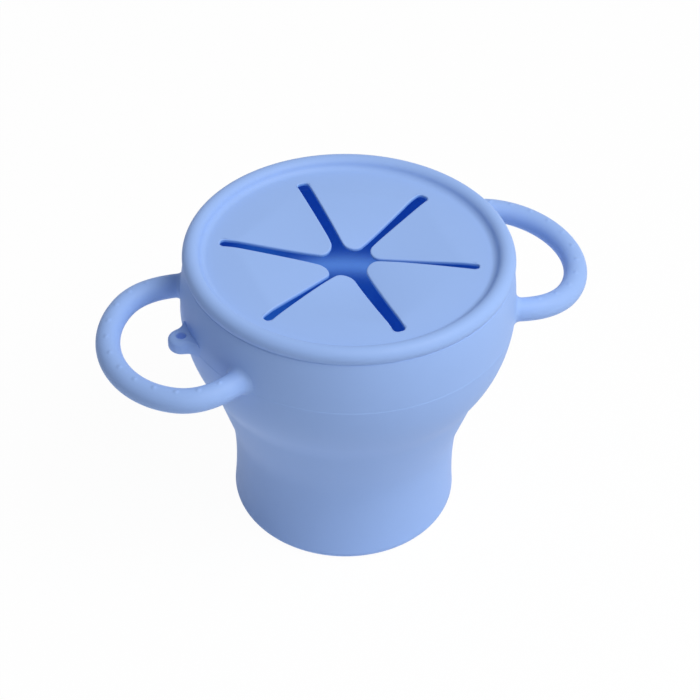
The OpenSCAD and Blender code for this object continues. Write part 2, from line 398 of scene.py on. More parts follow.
def soft_union(first, second, reach):
    """The smaller of two distances, lowered by (reach - difference) squared / (4 reach) near the other."""
    near = np.maximum(reach - np.abs(first - second), 0)
    return np.minimum(first, second) - near * near / (4 * reach)


def first_crossing(field, low, high):
    """Where the field, which rises with its argument, passes zero between low and high, by 40 halvings."""
    for _ in range(40):
        middle = (low + high) / 2
        inside = field(middle) < 0
        low = np.where(inside, middle, low)
        high = np.where(inside, high, middle)
    return (low + high) / 2


def both_walls(cup, up, down, outwards=0):
    """A wall's two sides: up its outside, and the way back down its inside at the wall's thickness."""
    outside = np.column_stack([cup_radius(up, cup) + outwards, up])
    return outside, np.column_stack([cup_radius(down, cup) - cup_wall(down, cup), down])


def level_rings(start, end, shares, height):
    """Level rings between two outlines, at start + (end - start) share."""
    return [np.column_stack([start + (end - start) * share, np.full(len(end), height)]) for share in shares]


def edge_rings(outline, drawn, rise, height, side, angles):
    """Rings round an edge, at drawn + (outline - drawn) cos a, and rise (1 - sin a) short of the height.

    The side is 1 for an upper edge, whose rings lie below the height, and -1 for a lower one.
    """
    rings = []
    for a in np.radians(angles):
        flat = drawn + (outline - drawn) * math.cos(a)
        rings.append(np.column_stack([flat, height - side * rise * (1 - math.sin(a))]))
    return rings


# ---------------------------------------------------------------- meshes


def grid_faces(rows, columns, wrap_rows):
    """Quads between neighbours of a grid whose columns close into a ring, and its rows too if wrap_rows."""
    number, column = np.arange(rows if wrap_rows else rows - 1)[:, None], np.arange(columns)[None]
    here, ahead = number * columns, ((number + 1) % rows) * columns
    after = (column + 1) % columns
    quads = np.stack([here + column, here + after, ahead + after, ahead + column], axis=-1)
    return quads.reshape(-1, 4)


def add_skin(name, points, poles=(), inside=None, before=None):
    """Puts a grid of points (rows, columns, 3) into a closed mesh.

    With two poles, fans close its first and last row. Without, its rows close into a ring.
    Points that coincide become one, and the faces are turned so that they point outwards.
    inside gives each place's share of the inside, which places its painted inner shade and painted glow, from
    where it is, or from where it was before it was bent.
    """
    rows, columns = points.shape[:2]
    places = points.reshape(-1, 3)
    faces = grid_faces(rows, columns, not len(poles))
    if len(poles):
        places = np.vstack([places, poles])
        ring = np.arange(columns)
        after = (ring + 1) % columns
        last = (rows - 1) * columns
        bottom, top = np.full(columns, rows * columns), np.full(columns, rows * columns + 1)
        faces = np.vstack([
            faces,
            np.stack([after, ring, bottom, bottom], axis=-1),
            np.stack([last + ring, last + after, top, top], axis=-1),
        ])
    known = inside(places if before is None else before) if inside else np.zeros(len(places))
    first, quads, triangles = welded(places, faces)
    places, known = places[first], known[first]
    if signed_volume(places, quads, triangles) < 0:
        quads, triangles = quads[:, ::-1], triangles[:, ::-1]
    mesh = bpy.data.meshes.new(name)
    mesh.from_pydata(places.tolist(), [], quads.tolist() + triangles.tolist())
    mesh.update()
    mesh.shade_smooth()
    mesh.set_sharp_from_angle(angle=SHARP)
    rest = mesh.attributes.new(REST_PLACE, "FLOAT_VECTOR", "POINT")
    rest.data.foreach_set("vector", places.astype(np.float32).ravel())
    share = mesh.attributes.new(PAINTED_LIGHT_SHARE, "FLOAT", "POINT")
    share.data.foreach_set("value", known.astype(np.float32))
    return added(name, mesh)


def added(name, data):
    """A new object for a mesh, a lamp or a camera, at the origin of the scene."""
    thing = bpy.data.objects.new(name, data)
    bpy.context.scene.collection.objects.link(thing)
    return thing


def welded(places, faces):
    """The same surface with points closer than a tenth of a micrometre made one.

    Gives the kept places' numbers, the faces that keep four corners, and those that keep three.
    """
    _, first, index = np.unique(np.round(places, 7), axis=0, return_index=True, return_inverse=True)
    faces = index.ravel()[faces]
    kept = faces != np.roll(faces, 1, axis=1)
    crossed = (faces[:, 0] == faces[:, 2]) | (faces[:, 1] == faces[:, 3])
    corners = np.where(crossed, 0, kept.sum(axis=1))
    three = corners == 3
    return first, faces[corners == 4], faces[three][kept[three]].reshape(-1, 3)


def signed_volume(places, quads, triangles):
    """Sum of the corners' triple product / 6 over all triangles, above zero if the faces point outwards."""
    triangles = np.vstack([quads[:, [0, 1, 2]], quads[:, [0, 2, 3]], triangles])
    a, b, c = (places[triangles[:, k]] for k in range(3))
    return float(np.einsum("ij,ij->i", a, np.cross(b, c)).sum() / 6)


def turned(line):
    """A line of (r, z) carried round Z: (r cos a, r sin a, z)."""
    a = np.linspace(0, 2 * np.pi, ROUND_SIDES, endpoint=False)
    r, z = line[:, :1], line[:, 1:]
    return np.stack([r * np.cos(a), r * np.sin(a), np.broadcast_to(z, (len(line), ROUND_SIDES))], axis=-1)


def spun(a):
    """The matrix that a row of (x, y, z) is multiplied by to turn it by a about Z."""
    return np.array([[math.cos(a), math.sin(a), 0], [-math.sin(a), math.cos(a), 0], [0, 0, 1]])


# ---------------------------------------------------------------- finishes


class Value:
    """A value of a shader. Arithmetic on it, from either side, adds the Math node that works it out."""

    def __init__(self, finish, socket):
        self.finish, self.socket = finish, socket

    def maths(self, operation, first, second):
        return self.finish.node("ShaderNodeMath", {"operation": operation}, {0: first, 1: second})

    def __add__(self, other):
        return self.maths("ADD", self, other)

    def __radd__(self, other):
        return self.maths("ADD", other, self)

    def __mul__(self, other):
        return self.maths("MULTIPLY", self, other)

    def __rmul__(self, other):
        return self.maths("MULTIPLY", other, self)


class Finish:
    """A material or world under construction."""

    def __init__(self, tree):
        self.tree = tree
        self.tree.nodes.clear()

    def node(self, kind, settings=None, inputs=None, output=0):
        """Adds a node: its settings first, then a value or a link for each socket. Gives one output."""
        node = self.tree.nodes.new(kind)
        for key, value in (settings or {}).items():
            setattr(node, key, value)
        for key, value in (inputs or {}).items():
            if isinstance(value, Value):
                self.tree.links.new(value.socket, node.inputs[key])
            else:
                node.inputs[key].default_value = value
        return Value(self, node.outputs[output]) if node.outputs else node

    def attribute(self, name, output):
        """What a skin's points know under this name."""
        settings = {"attribute_type": "GEOMETRY", "attribute_name": name}
        return self.node("ShaderNodeAttribute", settings, output=output)

    def noise(self, place, scale, detail, roughness):
        """A cloud of values between 0 and 1 over the skin."""
        inputs = {"Vector": place, "Scale": scale, "Detail": detail, "Roughness": roughness}
        return self.node("ShaderNodeTexNoise", inputs=inputs)

    def mix(self, share, first, second):
        """A mix of two colours, each a value or three numbers."""
        first, second = (colour if isinstance(colour, Value) else (*colour, 1) for colour in (first, second))
        inputs = {"Factor": share, "A": first, "B": second}
        return self.node("ShaderNodeMix", {"data_type": "RGBA", "blend_type": "MIX"}, inputs, output="Result")


# through is the colour of the painted glow inside; the argument after it sets how fast the painted inner
# shade sets in
def silicone(name, colour, through, shade_gain, finishes):
    """Matte moulded silicone: a slow drift of the pigment, patches of sheen, and the mould's fine grain, with
    a painted shade inside and a painted glow inside and all over.
    """
    material = bpy.data.materials.new(name)
    material.use_nodes = True
    material.diffuse_color = (*colour, 1)
    made = Finish(material.node_tree)
    place = made.attribute(REST_PLACE, "Vector")
    # Share of the inside, which sets the painted shade and the painted glow
    inside = made.attribute(PAINTED_LIGHT_SHARE, "Fac")
    drift = made.noise(place, scale=38.0, detail=2.0, roughness=0.5)
    patch = made.noise(place, scale=210.0, detail=3.0, roughness=0.6)
    grain = made.noise(place, scale=3200.0, detail=2.0, roughness=0.55)
    uneven, sheen, fine = 0.028, 0.08, 0.04
    paler, deeper = [min(1.0, (1 + uneven) * c) for c in colour], [(1 - uneven) * c for c in colour]
    outer = made.mix(0.7 * drift + 0.3 * patch, deeper, paler)
    # Painted shade: the inside's colour, darker and bluer, standing in for light that bounces again and again
    inner = [c * left for c, left in zip(colour, finishes.painted_inner_shade)]
    bump = made.node(
        "ShaderNodeBump", inputs={"Strength": 1.0, "Distance": finishes.grain, "Height": grain + 0.6 * patch}
    )
    shader = made.node(
        "ShaderNodeBsdfPrincipled",
        inputs={
            # Painted shade: the outer colour turns to the darker, bluer inner one on the inside
            "Base Color": made.mix(shade_gain * inside, outer, inner),
            "Roughness": finishes.roughness - (sheen + fine) / 2 + sheen * patch + fine * grain,
            "Normal": bump,
            "IOR": SILICONE_IOR,
            "Specular IOR Level": 0.25,
            # Painted glow, though the silicone is no lamp: the scattered colour all over the outside, turning
            # to the through colour inside
            "Emission Color": made.mix(inside, finishes.scattered, through),
            "Emission Strength": 1.0,
        },
    )
    made.node("ShaderNodeOutputMaterial", inputs={"Surface": shader})
    return material


def finish_of(slot):
    """The cup's or the lid's silicone, made when it is first asked for."""
    finishes = bpy.context.scene.snack_cup_finishes
    name = f"matte_{slot}"
    if name in bpy.data.materials:
        return bpy.data.materials[name]
    if slot == LID_FINISH:
        return silicone(name, finishes.lid_colour, finishes.lid_painted_glow, finishes.lid_shade_gain, finishes)
    return silicone(name, finishes.cup_colour, finishes.cup_painted_glow, finishes.cup_shade_gain, finishes)


def stand_in(skin, slot, node):
    """The skin gets its finish and its slot, and is shown in place of this solid."""
    skin.data.materials.append(finish_of(slot))
    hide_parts(node)


# ---------------------------------------------------------------- cup


def base_line(cup):
    """Outline of the base's wall and floor, from the axis below to the axis inside.

    Recess, foot ring and foot edge, then up the outside to the fold, over its hidden face,
    down the inside to the floor's corner and in to the axis.
    """
    foot_r = float(cup_radius(cup.foot_round, cup))
    flat_r = foot_r - cup.foot_round
    ring_r = flat_r - cup.foot_ring
    recess_r = ring_r - cup.foot_recess
    inside_z = cup.floor + cup.floor_round
    inside_r = float(cup_radius(inside_z, cup)) - cup.wall
    past_round, ring_round = 0.0004, 0.0004
    up = heights(cup.foot_round + past_round, cup.base_h, 0.0005)
    down = heights(inside_z + past_round, cup.base_h, 0.0006)[::-1]
    outside, inside = both_walls(cup, up, down)
    return np.vstack([
        soft_line(
            [[CENTRE_RING, cup.foot_recess], [recess_r, cup.foot_recess], [ring_r, 0], [flat_r, 0]],
            [ring_round, ring_round],
        ),
        arc([flat_r, cup.foot_round], cup.foot_round, -90, 0, 13)[1:],
        outside,
        inside,
        arc([inside_r - cup.floor_round, inside_z], cup.floor_round, 0, -90, 9),
        [[10 * CENTRE_RING, cup.floor], [CENTRE_RING, cup.floor]],
    ])


def cup_painted_light(cup):
    """How much painted shade and painted glow a place of the cup has.

    It is 0 on the outer skin. From half the wall inwards it is 0.04, rising to 1 in a band of painted glow at
    the height z0 as e to the -((z - z0) / width) squared.
    """
    everywhere = 0.04

    def share(places):
        r, z = np.hypot(places[:, 0], places[:, 1]), places[:, 2]
        deep = eased((cup_radius(z, cup) - r) / (cup_wall(z, cup) / 2)) * eased(2 * z / cup.floor - 1)
        # The band of painted glow
        band = np.exp(-(((z - cup.glow_band_z) / cup.glow_band_w) ** 2))
        return deep * (everywhere + (1 - everywhere) * band) * eased((cup.rim_z - z) / cup.wall)

    return share


def web_line(cup):
    """Outline of the folding web's wall: up its outside, and down its inside at the web's thickness."""
    up = heights(cup.base_h, cup.fold_z, 0.0004)
    return np.vstack(both_walls(cup, up, up[::-1]))


def bowl_line(cup):
    """Outline of the bowl's wall: up the outside over the parting step, round the rim, and down the inside.

    Below the parting line the wall swells by the step's height over 5 mm, and at the line it falls back.
    """
    top = cup.rim_z - cup.rim_round
    inner_round = (cup.wall - cup.rim_round) / 2
    mouth = cup.rim_d / 2 - cup.wall
    swell = 0.005
    up = heights(cup.fold_z, top, 0.0005, near=[cup.parting_z])
    down = heights(cup.fold_z, top, 0.0007)[::-1]
    above = up - cup.parting_z
    step = cup.parting_h * eased(1 + above / swell) * (1 - eased(0.5 + above / cup.parting_w))
    outside, inside = both_walls(cup, up, down, step)
    return np.vstack([
        outside,
        arc([cup.rim_d / 2 - cup.rim_round, top], cup.rim_round, 8, 90, 9),
        arc([mouth + inner_round, cup.rim_z - inner_round], inner_round, 90, 172, 6),
        inside,
    ])


class SNACKCUP_OT_base(bpy.types.Operator):
    """Make the base: floor, foot ring and the wall up to the lower fold"""

    bl_idname = "snack_cup.base"
    bl_label = "Base"

    def execute(self, context):
        cup = context.scene.snack_cup_sizes
        poles = [[0, 0, cup.foot_recess], [0, 0, cup.floor]]
        skin = add_skin("base_skin", turned(base_line(cup)), poles, cup_painted_light(cup))
        stand_in(skin, CUP_FINISH, "base_cup")
        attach(skin, "base")
        return {"FINISHED"}


class SNACKCUP_OT_web(bpy.types.Operator):
    """Make the folding web between base and bowl"""

    bl_idname = "snack_cup.web"
    bl_label = "Folding web"

    def execute(self, context):
        cup = context.scene.snack_cup_sizes
        skin = add_skin("web_skin", turned(web_line(cup)), inside=cup_painted_light(cup))
        stand_in(skin, CUP_FINISH, "fold_web")
        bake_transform(skin)
        return {"FINISHED"}


class SNACKCUP_OT_bowl(bpy.types.Operator):
    """Make the bowl, from the upper fold to the rim"""

    bl_idname = "snack_cup.bowl"
    bl_label = "Bowl"

    def execute(self, context):
        cup = context.scene.snack_cup_sizes
        skin = add_skin("bowl_skin", turned(bowl_line(cup)), inside=cup_painted_light(cup))
        stand_in(skin, CUP_FINISH, "upper_bowl")
        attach(skin, "bowl")
        return {"FINISHED"}


# ---------------------------------------------------------------- handles and lug


def wall_distance(places, cup):
    """Distance of places from the cup's outer surface, level: r - radius(z), below zero inside."""
    return np.hypot(places[..., 0], places[..., 1]) - cup_radius(places[..., 2], cup)


def handle_places(handle, cup, lift, droop, pinch):
    """Places on a handle towards +X, as a grid along its oval and round its bar.

    The middle line is (out cos t, side sin t), tilted by the droop, with its width pinched from t = 1 on.
    A place is the middle line plus (bar + s) times (cos a n + sin a up), where n is the oval's level normal,
    and s is found so that the soft union of bar and bowl is met. Each line along the bar ends at one depth
    under the bowl's skin, and its stations crowd towards its ends as sin(crowd share) / sin(crowd).
    Each nub adds its height times (1 - (distance / half its width) squared) squared.
    """
    bar = handle.bar_d / 2
    out, side = handle.reach - bar, handle.width / 2 - bar
    cos_d, sin_d = math.cos(droop), math.sin(droop)
    up = np.array([sin_d, 0, cos_d])
    start = np.array([cup.belly_d / 2, 0, cup.belly_z + lift])
    spread = cup.belly_d / 2 * out
    root = math.acos(-(side**2) / (spread + math.sqrt(spread**2 - (out**2 - side**2) * side**2)))

    def middle(t):
        flat = out * np.cos(t)
        wide = side * np.sin(t) * (1 - pinch * eased(np.abs(t) - 1))
        return start + np.stack([flat * cos_d, wide, -flat * sin_d], axis=-1)

    def outward(t, a):
        n = np.stack([side * np.cos(t), out * np.sin(t)], axis=-1)
        n = n / np.linalg.norm(n, axis=-1, keepdims=True)
        level = np.stack([n[..., 0] * cos_d, n[..., 1], -n[..., 0] * sin_d], axis=-1)
        return np.cos(a)[..., None] * level + np.sin(a)[..., None] * up

    spare, search, crowd = 0.0002, 0.6, 1.18
    most = handle.root_round + spare
    a = np.linspace(0, 2 * np.pi, BAR_SIDES, endpoint=False)

    def depth_left(t):
        places = middle(t) + (bar + most) * outward(t, a)
        return -(wall_distance(places, cup) + SUNK)

    end = first_crossing(depth_left, np.full(a.shape, root * search), np.full(a.shape, root + search))
    share = np.sin(np.linspace(-1, 1, BAR_STATIONS) * crowd) / math.sin(crowd)
    t = share[:, None] * end[None]
    a = np.broadcast_to(a, t.shape)
    centre, away = middle(t), outward(t, a)

    def field(s):
        places = centre + (bar + s)[..., None] * away
        return soft_union(s, wall_distance(places, cup) + HIDDEN_LIP, handle.root_round)

    s = first_crossing(field, np.zeros(t.shape), np.full(t.shape, most))
    round_bar = bar * np.abs(a - np.pi / 2)
    for k in range(handle.nub_count):
        at = (k - (handle.nub_count - 1) / 2) * handle.nub_step + handle.nub_shift
        along = np.linalg.norm(centre - middle(np.array(at)), axis=-1)
        far = np.hypot(along, round_bar) / (handle.nub_d / 2)
        s = s + handle.nub_h * np.maximum(0, 1 - far**2) ** 2
    return centre + (bar + s)[..., None] * away


def lug_places(handle, cup):
    """Places on the lug, as a grid of sections between its hole and its outline, one for each direction.

    The outline is where the soft union of ear and bowl is met along a direction, or a little under the
    bowl's skin. Each section is a rectangle with rounded corners, turned about the hole. A point of the
    section is (fixed part of r, share of the outline in r, height above the lug's middle).
    """
    hole, ear = handle.lug_hole_d / 2, handle.lug_hole_d / 2 + handle.lug_wall
    centre_x = -(cup.belly_d / 2 + handle.lug_gap + hole)
    a = np.linspace(0, 2 * np.pi, 180, endpoint=False)
    farthest = 0.0068
    far = np.linspace(1.4 * hole, farthest, 500)[:, None]
    x, y = far * np.cos(a), far * np.sin(a)
    ear_distance = np.where(x > 0, np.abs(y) - ear, far - ear)
    skin_distance = np.hypot(centre_x + x, y) - cup.belly_d / 2
    field = soft_union(ear_distance, skin_distance + HIDDEN_LIP, handle.lug_round)
    stop = (field > 0) | (skin_distance < -SUNK)
    stop[-1] = True
    outline = far[np.argmax(stop, axis=0), 0]
    half, inner, outer = handle.lug_t / 2, 0.0003, handle.lug_edge
    flat = np.linspace(0, 1, 6)[1:-1]
    low_in, high_in = arc([0, half - inner], inner, 180, 90, 5), arc([0, half - outer], outer, 90, 0, 8)
    line = np.vstack([
        np.column_stack([low_in[:, 0] + hole + inner, 0 * low_in[:, 0], low_in[:, 1]]),
        np.column_stack([(1 - flat) * (hole + inner), flat, 0 * flat + half]),
        np.column_stack([high_in[:, 0], 0 * high_in[:, 0] + 1, high_in[:, 1]]),
    ])
    line = np.vstack([line, line[::-1] * [1, 1, -1]])
    r = line[:, :1] + line[:, 1:2] * (outline - outer)[None]
    z = np.broadcast_to(cup.belly_z + handle.lug_rise + line[:, 2:], r.shape)
    return np.stack([centre_x + r * np.cos(a), r * np.sin(a), z], axis=-1)


class SNACKCUP_OT_handles(bpy.types.Operator):
    """Make the two loop handles with their row of nubs"""

    bl_idname = "snack_cup.handles"
    bl_label = "Handles"

    def execute(self, context):
        cup, handle = context.scene.snack_cup_sizes, context.scene.snack_cup_handle
        for side, sign, *posture in zip(("left", "right"), (-1, 1), handle.lift, handle.droop, handle.pinch):
            places = handle_places(handle, cup, *posture) * [sign, 1, 1]
            skin = add_skin(f"handle_{side}_skin", places, [places[0].mean(axis=0), places[-1].mean(axis=0)])
            stand_in(skin, CUP_FINISH, f"handle_{side}")
            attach(skin, "bowl")
        return {"FINISHED"}


class SNACKCUP_OT_lug(bpy.types.Operator):
    """Make the pierced lug for a lanyard"""

    bl_idname = "snack_cup.lug"
    bl_label = "Lanyard lug"

    def execute(self, context):
        cup, handle = context.scene.snack_cup_sizes, context.scene.snack_cup_handle
        skin = add_skin("lug_skin", lug_places(handle, cup))
        stand_in(skin, CUP_FINISH, "lanyard_lug")
        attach(skin, "bowl")
        return {"FINISHED"}


# ---------------------------------------------------------------- lid and petals


def slit_sizes(lid):
    """The slits' measures: end, hexagon's corner, hinge line, taper, and half of the chord that bends.

    The chord between two corners is a petal's hinge line. A slit's side leaves it where the chord is one
    half width away from the slit's axis: cut (sin 60 - taper cos 60) = half width.
    """
    end = lid.radius - lid.bead_w - lid.slit_margin
    corner = end - lid.slit_w / 2
    taper = (lid.slit_w_mid - lid.slit_w) / 2 / corner
    slant = math.sin(PITCH) - taper * math.cos(PITCH)
    cut = lid.slit_w / 2 / slant
    return SimpleNamespace(
        end=end,
        corner=corner,
        hinge=corner * math.cos(PITCH / 2),
        taper=taper,
        slant=slant,
        cut=cut,
        half_chord=corner / 2 - cut,
    )


def slit_outline(lid):
    """One sixth of the disc's inner boundary, seen along a slit's axis: a slit between two half hinge lines.

    Gives the boundary, the same line drawn back by the edge's radius, the height of the edge's
    rounding, and the direction from the middle at which each point's section stands.
    """
    slit = slit_sizes(lid)
    edge = lid.slit_edge
    along = np.array([math.cos(PITCH), math.sin(PITCH)]) * [-1, 1]
    corner = np.array([slit.corner, 0])
    leave = corner + slit.cut * along
    drawn_leave = leave + edge / slit.slant * along
    middle = corner + slit.corner / 2 * along
    chord = drawn_leave + (middle - drawn_leave) * (1 - CHORD_SHARES[:, None])
    tip_y = lid.slit_w / 2 + (slit.corner - slit.end) * slit.taper
    upper = soft_line([leave, [slit.end, tip_y], [slit.end, 0]], [lid.slit_corner], fine=7)
    side = np.linspace(upper[0], upper[1], 5)[1:-1]
    across = np.linspace(upper[-2], upper[-1], 4)[1:]
    line = np.vstack([upper[:1], side, upper[1:-1], across])
    step = np.gradient(line, axis=0)
    normal = np.column_stack([step[:, 1], -step[:, 0]])
    normal /= np.linalg.norm(normal, axis=1, keepdims=True)
    normal[0], normal[-1] = [-slit.taper, -1] / np.hypot(slit.taper, 1), [-1, 0]
    drawn = line - normal * edge
    drawn[0] = drawn_leave
    length = np.r_[0, np.cumsum(np.linalg.norm(np.diff(line, axis=0), axis=1))]
    turn = math.atan2(leave[1], leave[0]) * (1 - length / length[-1])
    half = (
        np.vstack([chord, line]),
        np.vstack([chord, drawn]),
        np.r_[np.zeros(len(chord)), np.full(len(line), edge)],
        np.r_[np.arctan2(chord[:, 1], chord[:, 0]), turn],
    )
    mirrored = [(part[:-1] * sign)[::-1] for part, sign in zip(half, ([1, -1], [1, -1], 1, -1))]
    return [np.concatenate([part, other])[1:][::-1] for part, other in zip(half, mirrored)]


def all_round(lid):
    """The disc's whole inner boundary: six turned copies of one slit's outline."""
    outline, drawn, rise, turn = slit_outline(lid)
    copies = []
    for k in range(PETALS):
        a = lid.turn + (k + 0.5) * PITCH
        spin = spun(a)[:2, :2]
        copies.append((outline @ spin, drawn @ spin, rise, turn + a))
    return [np.concatenate(parts) for parts in zip(*copies)]


def disc_heights(lid):
    """The heights of the disc's top and underside."""
    return lid.top - lid.disc_drop, lid.top - lid.disc_drop - lid.disc_t


def lid_line(lid, cup):
    """The lid's section from the disc's top over crease, bead, seat, plug and rib to the disc's underside.

    The bead turns down to its seat in a circle that touches it from outside and ends upright.
    """
    disc, under_disc = disc_heights(lid)
    bead = lid.bead_w / 2
    bead_r, bead_z = lid.radius - bead, lid.top - bead
    rise = disc + lid.crease - bead_z
    crease_r = bead_r - math.sqrt((bead + lid.crease) ** 2 - rise**2)
    lean = math.degrees(math.atan2(rise, crease_r - bead_r))
    seat, under = cup.rim_z, cup.rim_z - lid.plug_depth
    reach = bead + lid.neck_round
    leave = math.degrees(math.asin((seat - bead_z) / reach))
    turn_r = bead_r + math.sqrt(reach**2 - (seat - bead_z) ** 2)
    rib_z, beside_rib = seat - lid.plug_depth / 2, lid.rib + 0.0002
    inner = lid.plug_r - lid.plug_t
    seat_r, disc_r = lid.plug_r + 0.0009, inner - 0.0015
    seat_round, plug_round, root_round = 0.0003, 0.0007, 0.0008
    return np.vstack([
        arc([crease_r, disc + lid.crease], lid.crease, 270, lean + 180, 9),
        arc([bead_r, bead_z], bead, lean, leave, 42)[1:],
        arc([turn_r, seat], lid.neck_round, leave + 180, 180, 8)[1:],
        soft_line([[seat_r, seat], [lid.plug_r, seat], [lid.plug_r, rib_z + beside_rib]], [seat_round]),
        arc([lid.plug_r, rib_z], lid.rib, 80, -80, 11),
        soft_line(
            [
                [lid.plug_r, rib_z - beside_rib],
                [lid.plug_r, under],
                [inner, under],
                [inner, under_disc],
                [disc_r, under_disc],
            ],
            [plug_round, plug_round, root_round],
        ),
    ])


def slits_moved(places, lid):
    """Places on the disc or a petal with each slit's sides moved across the slit, and its end along it.

    The shift runs evenly from one side to the other over the slit's width. It fades beside the slit,
    beyond its end, and where the slit's axis passes the middle. The end's own shift grows over the
    slit's last stretch.
    """
    beside, beyond, past_middle, last_stretch = 0.007, 0.0035, 0.004, 0.012
    moved = np.array(places, float)
    end, half = slit_sizes(lid).end, lid.slit_w / 2
    for k in range(PETALS):
        a = lid.turn + (k + 0.5) * PITCH
        along = places[..., 0] * math.cos(a) + places[..., 1] * math.sin(a)
        across = places[..., 1] * math.cos(a) - places[..., 0] * math.sin(a)
        near, far = lid.slit_sides[2 * k], lid.slit_sides[2 * k + 1]
        shift = (near + far) / 2 + (far - near) / 2 * np.clip(across / half, -1, 1)
        near_slit = 1 - eased((np.abs(across) - half) / beside)
        near_slit = near_slit * (1 - eased((np.hypot(along, across) - end) / beyond))
        shift = shift * near_slit * eased(along / past_middle)
        out = lid.slit_ends[k] * near_slit * eased((along - end) / last_stretch + 1)
        moved[..., 0] += out * math.cos(a) - shift * math.sin(a)
        moved[..., 1] += out * math.sin(a) + shift * math.cos(a)
    return moved


def lid_places(lid, cup):
    """Places on the lid's ring, as a grid of sections round its middle.

    A section starts on the disc's inner boundary, rounds its edge, runs straight to the crease, follows
    the lid's line turned to the section's direction, and comes back under the disc.
    """
    outline, drawn, rise, turn = all_round(lid)
    line = lid_line(lid, cup)
    top, bottom = disc_heights(lid)
    way = np.column_stack([np.cos(turn), np.sin(turn)])
    rings = edge_rings(outline, drawn, rise, top, 1, QUARTER)
    rings += level_rings(drawn, line[0, 0] * way, (0.04, 0.15, 0.35, 0.6, 0.82), top)
    rings += [np.column_stack([r * way, np.full(len(way), z)]) for r, z in line]
    rings += level_rings(drawn, line[-1, 0] * way, (0.75, 0.45, 0.2, 0.05), bottom)
    rings += edge_rings(outline, drawn, rise, bottom, -1, QUARTER[::-1])
    return slits_moved(np.stack(rings), lid)


def lid_painted_light(lid):
    """How much painted shade and painted glow a place of the lid has.

    It is 0 on the disc's top, rises down the slits' sides, where a painted glow stands in for light that
    leaves the disc's edge, and is 0.1 on the underside and inside the plug.
    """
    underneath = 0.1

    def share(places):
        r, z = np.hypot(places[:, 0], places[:, 1]), places[:, 2]
        deep = (disc_heights(lid)[0] - z) / lid.disc_t
        under = eased((deep - 1) * lid.disc_t / lid.slit_edge + 1)
        return np.clip(deep, 0, 1) * (1 - (1 - underneath) * under) * eased((lid.plug_r - r) / lid.plug_t)

    return share


def petal_outline(lid):
    """A petal's boundary with its hinge line across +X, and the same line drawn back by the edge's radius.

    Gives these two, the height of the edge's rounding, and the x of the hinge line and of the tip.
    The side's stations crowd towards the hinge line.
    """
    slit, edge = slit_sizes(lid), lid.slit_edge
    hinge, half_chord = slit.hinge, slit.half_chord
    slope = PITCH / 2 + math.atan(slit.taper)
    apex = hinge - half_chord / math.tan(slope)
    tip_x = apex + lid.tip_r / math.sin(slope)
    side_normal = np.array([-math.sin(slope), math.cos(slope)])
    touch = np.array([tip_x, 0]) + lid.tip_r * side_normal
    leave = np.array([hinge, half_chord])
    drawn_y = half_chord - edge / math.cos(slope)
    chord = np.column_stack([np.full(len(CHORD_SHARES), hinge), CHORD_SHARES * drawn_y])
    crowd = 1.15
    side = leave + (touch - leave) * np.linspace(0, 1, 34)[:-1, None] ** crowd
    lean = math.degrees(math.atan2(side_normal[1], side_normal[0]))
    tip, drawn_tip = (arc([tip_x, 0], radius, lean, 180, 14) for radius in (lid.tip_r, lid.tip_r - edge))
    drawn_side = side - edge * side_normal
    drawn_side[0] = [hinge, drawn_y]
    outline = np.vstack([chord, side, tip])
    drawn = np.vstack([chord, drawn_side, drawn_tip])
    rise = np.r_[np.zeros(len(chord)), np.full(len(side) + len(tip), edge)]
    mirror = slice(-2, 0, -1)
    outline, drawn = (np.vstack([part, part[mirror] * [1, -1]]) for part in (outline, drawn))
    return outline, drawn, np.r_[rise, rise[mirror]], hinge, tip_x - lid.tip_r


def petal_places(lid, slope, twist):
    """Places on a petal, as rings from the middle of its top over its edge to the middle of its underside.

    Inside the drawn-back outline the rings are that outline shrunk towards a middle point. Then the whole
    petal hangs from its hinge line: at distance d it is lower by slope (d - soft / 2), or near the line,
    where d is below soft, by slope d squared / (2 soft). The slope grows by the twist times
    y / (4.5 mm + 0.7 half width) from the middle to the far side, and falls as much to the near side.
    """
    outline, drawn, rise, hinge, tip = petal_outline(lid)
    top, bottom = disc_heights(lid)
    towards_tip, least_wide, share_wide = 0.38, 0.0045, 0.7
    middle = np.array([(1 - towards_tip) * hinge + towards_tip * tip, 0])
    shares = np.linspace(0.04, 0.985, 26)
    rings = level_rings(middle, drawn, shares, top)
    rings += edge_rings(outline, drawn, rise, top, 1, QUARTER[::-1])
    rings += edge_rings(outline, drawn, rise, bottom, -1, QUARTER)
    rings += level_rings(middle, drawn, shares[::-1], bottom)
    places = np.stack(rings)
    poles = np.array([[*middle, top], [*middle, bottom]])

    def sagged(p):
        d = np.maximum(0, hinge - p[..., 0])
        half_width = math.tan(PITCH / 2) * np.maximum(0, p[..., 0])
        steep = slope + twist * p[..., 1] / (least_wide + share_wide * half_width)
        drop = steep * np.where(d < lid.sag_soft, d * d / (2 * lid.sag_soft), d - lid.sag_soft / 2)
        return p - drop[..., None] * [0, 0, 1]

    return sagged(places), sagged(poles), np.vstack([places.reshape(-1, 3), poles])


class SNACKCUP_OT_lid(bpy.types.Operator):
    """Make the lid's ring: bead, seat, plug and the disc up to the petals' roots"""

    bl_idname = "snack_cup.lid"
    bl_label = "Lid"

    def execute(self, context):
        cup, lid = context.scene.snack_cup_sizes, context.scene.snack_cup_lid
        skin = add_skin("lid_skin", lid_places(lid, cup), inside=lid_painted_light(lid))
        stand_in(skin, LID_FINISH, "lid_ring")
        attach(skin, "lid")
        return {"FINISHED"}


